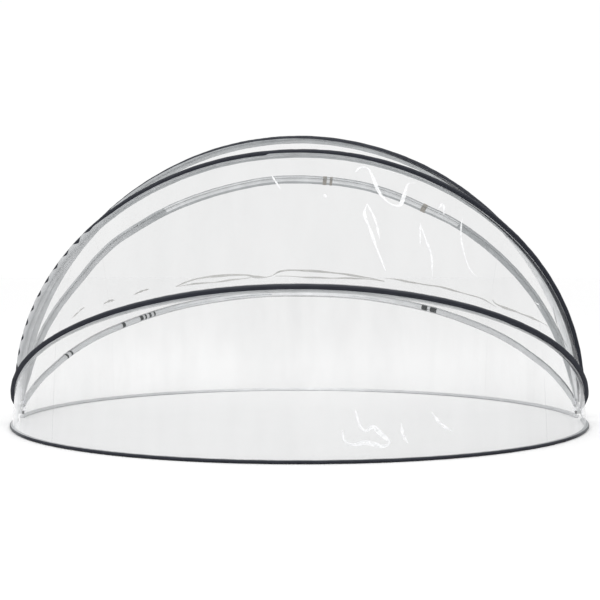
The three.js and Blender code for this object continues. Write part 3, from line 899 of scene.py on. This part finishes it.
# Painted glints: white strips that stand in for highlights on the film's wrinkles.
GLINTS = {
    "film_front_upper": [
        (0.021, [(0.18, 0.87), (0.195, 0.915), (0.22, 0.92), (0.235, 0.84), (0.25, 0.73), (0.28, 0.655),
                 (0.315, 0.66), (0.335, 0.77), (0.35, 0.88), (0.375, 0.92)]),
        (0.008, [(0.26, 0.94), (0.32, 0.945), (0.38, 0.93)]),
        (0.017, [(0.21, 0.61), (0.20, 0.52), (0.215, 0.41), (0.23, 0.29), (0.255, 0.13)]),
        (0.013, [(0.21, 0.61), (0.232, 0.49), (0.243, 0.35)]),
        (0.010, [(0.378, 0.56), (0.37, 0.38)]),
        (0.013, [(0.378, 0.55), (0.39, 0.43), (0.402, 0.32), (0.398, 0.15)]),
        (0.012, [(0.523, 0.76), (0.512, 0.64), (0.508, 0.50), (0.52, 0.32), (0.545, 0.26)]),
        (0.016, [(0.445, 0.75), (0.462, 0.81), (0.46, 0.71)]),
        (0.018, [(0.078, 0.655), (0.082, 0.63)]),
        (0.010, [(-0.09, 0.82), (-0.06, 0.69)]),
        (0.010, [(0.75, 0.36), (0.757, 0.33), (0.765, 0.34), (0.768, 0.30)]),
    ],
    "film_front_lower": [
        (0.022, [(0.158, 0.29), (0.17, 0.20), (0.188, 0.17), (0.208, 0.19), (0.235, 0.14), (0.255, 0.10),
                 (0.235, 0.075), (0.19, 0.10), (0.155, 0.09), (0.128, 0.11), (0.12, 0.17)]),
        (0.016, [(0.29, 0.21), (0.295, 0.14), (0.31, 0.09)]),
        (0.016, [(0.38, 0.28), (0.41, 0.20), (0.44, 0.16)]),
    ],
}
# Folds in the film: the grey strips laid along them are painted shade.
FOLDS = {
    "film_front_upper": [
        (0.011, [(-0.71, 0.09), (-0.68, 0.125), (-0.665, 0.13)]),
        (0.014, [(-0.595, 0.08), (-0.575, 0.09), (-0.56, 0.08)]),
        (0.012, [(-0.50, 0.08), (-0.475, 0.09), (-0.45, 0.09)]),
        (0.014, [(-0.365, 0.058), (-0.33, 0.08), (-0.28, 0.09), (-0.23, 0.09), (-0.16, 0.08), (-0.13, 0.06),
                 (-0.10, 0.052), (-0.08, 0.06)]),
        (0.009, [(-0.36, 0.058), (-0.32, 0.056), (-0.25, 0.05), (-0.18, 0.055), (-0.14, 0.058)]),
        (0.013, [(-0.08, 0.06), (-0.05, 0.09), (0.02, 0.094), (0.10, 0.085), (0.17, 0.07), (0.25, 0.058)]),
        (0.009, [(-0.07, 0.058), (0.02, 0.05), (0.10, 0.05), (0.18, 0.055), (0.25, 0.057)]),
        (0.011, [(0.25, 0.078), (0.29, 0.082), (0.35, 0.08), (0.43, 0.085), (0.48, 0.08), (0.56, 0.088),
                 (0.60, 0.06)]),
        (0.014, [(0.59, 0.115), (0.60, 0.092), (0.63, 0.09), (0.70, 0.107), (0.74, 0.125), (0.79, 0.152)]),
    ],
}
# The dark binding that shows at the edge of the bunched film, low on the right.
BINDINGS = {"film_front_upper": [(0.016, [(0.838, 0.56), (0.84, 0.37), (0.852, 0.24), (0.878, 0.14)])]}
# Each kind of mark, with its material and how far from the hinge axis blend_between takes its seams.
MARKS = {
    "glints": (GLINTS, GLINT, GORE_EDGES[5]),
    "fold_shades": (FOLDS, FOLD_SHADE, GORE_EDGES[5]),
    "binding": (BINDINGS, EDGE, GORE_EDGES[4]),
}
MARK_LIFT = 0.003
MARK_STEPS = 10
MARK_SECTION = np.array([-1, -0.4, 0.4, 1])
MARK_TIP = 0.25         # a mark's width at its tips, as a share of the full width
MARK_TAPER = 3          # how fast it widens from a tip, in full widths over its whole length
MARK_UNEVENNESS = 0.3


def surface_points(index, across, share):
    """Points on the built panel, ripples included, where the marks lie."""
    front, rear = MEMBERS[index], MEMBERS[index + 1]
    points = []
    for a, s in zip(across, share):
        phi, s = np.array([math.acos(a)]), np.array([s])
        row = panel_points(front, rear, phi, s)
        points.append(lifted(row, film_lift(front, phi, s, index) + MARK_LIFT)[0, 0])
    return np.array(points)


def smooth_path(marks):
    """A Catmull-Rom curve through the given points."""
    p = np.array(marks)
    p = np.concatenate([2 * p[:1] - p[1:2], p, 2 * p[-1:] - p[-2:-1]])
    t = np.linspace(0, 1, MARK_STEPS, endpoint=False)[:, None]
    runs = []
    for a, b, c, d in zip(p[:-3], p[1:-2], p[2:-1], p[3:]):
        runs.append(0.5 * (2 * b + (c - a) * t + (2 * a - 5 * b + 4 * c - d) * t ** 2
                           + (3 * b - a - 3 * c + d) * t ** 3))
    return np.concatenate([*runs, p[-2:-1]])


def ribbon(index, width, marks):
    """A narrow strip on the film along a mark, thin at both ends, and its cloth map."""
    path = smooth_path(marks)
    middle = surface_points(index, path[:, 0], path[:, 1])
    side = np.cross(np.gradient(middle, axis=0), middle - PIVOT)
    side /= np.linalg.norm(side, axis=1, keepdims=True)
    t = np.linspace(0, 1, len(middle))
    taper = np.minimum(1, MARK_TIP + MARK_TAPER * np.minimum(t, 1 - t))
    half = width / 2 * taper * (1 + MARK_UNEVENNESS * np.sin(t * 19 + width * 900))
    points = middle[:, None, :] + side[:, None, :] * (half[:, None] * MARK_SECTION[None, :])[..., None]
    return points, cloth_grid(lengths_along(points), MARK_SECTION * width / 2)


def marks_piece(index, kind, marks, material, near):
    ribbons = [ribbon(index, width, path) for width, path in marks]
    piece = join_grids(f"{PANELS[index]}_{kind}", ribbons)
    finish_piece(piece, None, [material])
    blend_between(piece, MEMBERS[index], MEMBERS[index + 1], near)
    return piece


TAPE_WIDTH = 0.016
TAPE_LIFT = 0.0009
TAPE_FROM = 0.36
TAPE_STATIONS = 360
TAPE_COLUMNS = 4


def tape_piece(index, side):
    """The welded strip along one edge of a panel, where the film is sewn to the sleeve."""
    front, rear = MEMBERS[index], MEMBERS[index + 1]
    member = front if side == "front" else rear
    start = front.phi_at(TAPE_FROM)
    phi = np.linspace(start, math.pi - start, TAPE_STATIONS)
    a, b = seam_points(front, phi, -1), seam_points(rear, phi, 1)
    width = np.linalg.norm(a - b, axis=-1)
    reach = np.linspace(0.0, TAPE_WIDTH, TAPE_COLUMNS)
    share = reach[None, :] / width[:, None]
    share = (share if side == "front" else 1 - share)[..., None]
    points = lifted(a[:, None, :] * (1 - share) + b[:, None, :] * share, TAPE_LIFT)
    piece = grid_object(f"{PANELS[index]}_tape_{side}", points, cloth_grid(lengths_along(points), reach))
    finish_piece(piece, member.body, [TAPE])
    return piece


# ---- ties on the sleeves ----
# Each tie is its place, as a share of the half span from the middle to the right, and its width.

TIES = {
    "hoop_4": [(0.10, 0.03), (0.125, 0.02), (0.49, 0.04)],
    "hoop_5": [(-0.60, 0.014), (-0.617, 0.022), (-0.634, 0.016), (-0.650, 0.03), (-0.716, 0.03),
               (-0.892, 0.02), (-0.905, 0.022), (0.52, 0.05), (0.555, 0.06)],
}
TIE_MATERIALS = {"hoop_4": PATCH_CLOTH, "hoop_5": TIE_CLOTH}
TIE_THICKNESS = 0.0016
TIE_GAP = 0.0008
TIE_FRAY = 0.0006
TIE_ROWS = 12
TIE_COLUMNS = 40
TIE_EDGE = 0.2          # the thickness at a tie's two edges, as a share
TIE_LENGTH = 0.16


def tie_piece(member, number, across, width):
    """A strap wrapped round the sleeve."""
    middle = math.acos(across)
    half = width / 2 / member.half_span
    phi = np.linspace(middle - half, middle + half, TIE_ROWS)
    turn = np.linspace(0, FULL_TURN, TIE_COLUMNS, endpoint=False)
    depth, breadth, power = (size[:, None] for size in sleeve_size(member, member.distance(phi)))
    rim = np.full((TIE_ROWS, 1), TIE_THICKNESS)
    rim[[0, -1]] *= TIE_EDGE
    fray = TIE_FRAY * np.sin(turn[None, :] * 9 + phi[:, None] * 300)
    u, v = section_point(depth + rim + fray + TIE_GAP, breadth + rim + fray + TIE_GAP, power, turn[None, :])
    points = member.around(phi[:, None], u + member.wander(phi)[:, None], v)
    cloth = cloth_grid(lengths_along(points), np.linspace(0, TIE_LENGTH, TIE_COLUMNS + 1))
    piece = grid_object(f"{member.name}_tie_{number}", points, cloth, wraps=True)
    finish_piece(piece, member.body, [TIE_MATERIALS[member.name]])


# ---- stage and light ----

FLOOR_HALF = 60
FLOOR_DROP = 0.001
WORLD_STRENGTH = 1.01
# Each light: where it is, its size and its power.
LIGHTS = {"key": ((-3.5, -6, 8), (5, 4), 90), "top": ((1, 1, 9), (7, 7), 90)}
LIGHTS_AIM = Vector((0, 0, 0.8))
FLOOR_TONES = ((0.3, (0.98, 0.98, 0.98)), (0.7, (0.99, 0.99, 0.99)))


def make_floor():
    mesh = bpy.data.meshes.new("floor")
    corners = [(-1, -1), (1, -1), (1, 1), (-1, 1)]
    mesh.from_pydata([(x * FLOOR_HALF, y * FLOOR_HALF, 0) for x, y in corners], [], [(0, 1, 2, 3)])
    floor = bpy.data.objects.new("floor", mesh)
    floor.location.z = -FLOOR_DROP
    bpy.context.scene.collection.objects.link(floor)
    n = Nodes("floor")
    speckle = n.noise(n.object_map(), scale=3, detail=2)
    n.drive(Base_Color=n.ramp(speckle, *FLOOR_TONES))
    n.set(n.shader, Roughness=0.9)
    mesh.materials.append(n.material)


def area_light(name, place, size, power):
    data = bpy.data.lights.new(name, "AREA")
    data.shape = "RECTANGLE"
    data.size, data.size_y = size
    data.energy = power
    light = bpy.data.objects.new(name, data)
    light.location = place
    light.rotation_euler = (LIGHTS_AIM - Vector(place)).to_track_quat("-Z", "Y").to_euler()
    bpy.context.scene.collection.objects.link(light)


def make_lights():
    world = bpy.data.worlds.new("studio")
    bpy.context.scene.world = world
    world.use_nodes = True
    background = world.node_tree.nodes["Background"]
    background.inputs["Color"].default_value = (1, 1, 1, 1)
    background.inputs["Strength"].default_value = WORLD_STRENGTH
    for name, settings in LIGHTS.items():
        area_light(name, *settings)
    bpy.context.scene.view_settings.view_transform = "Standard"


# ---- build ----

for number, member in enumerate(MEMBERS):
    for part in ("right", "crown", "left"):
        tube_piece(member, part)
    sleeve_piece(member, number * SEED_STEP)

for name, ties in TIES.items():
    for number, (across, width) in enumerate(ties, 1):
        tie_piece(BY_NAME[name], number, across, width)

for number in range(len(PANELS)):
    panel(number)

for node, obj in frame["nodes"].items():
    if "hinge" in node or "pivot" in node:
        obj.data.materials.clear()
        obj.data.materials.append(PLASTIC if "cap" in node else ZINC)

make_floor()
make_lights()
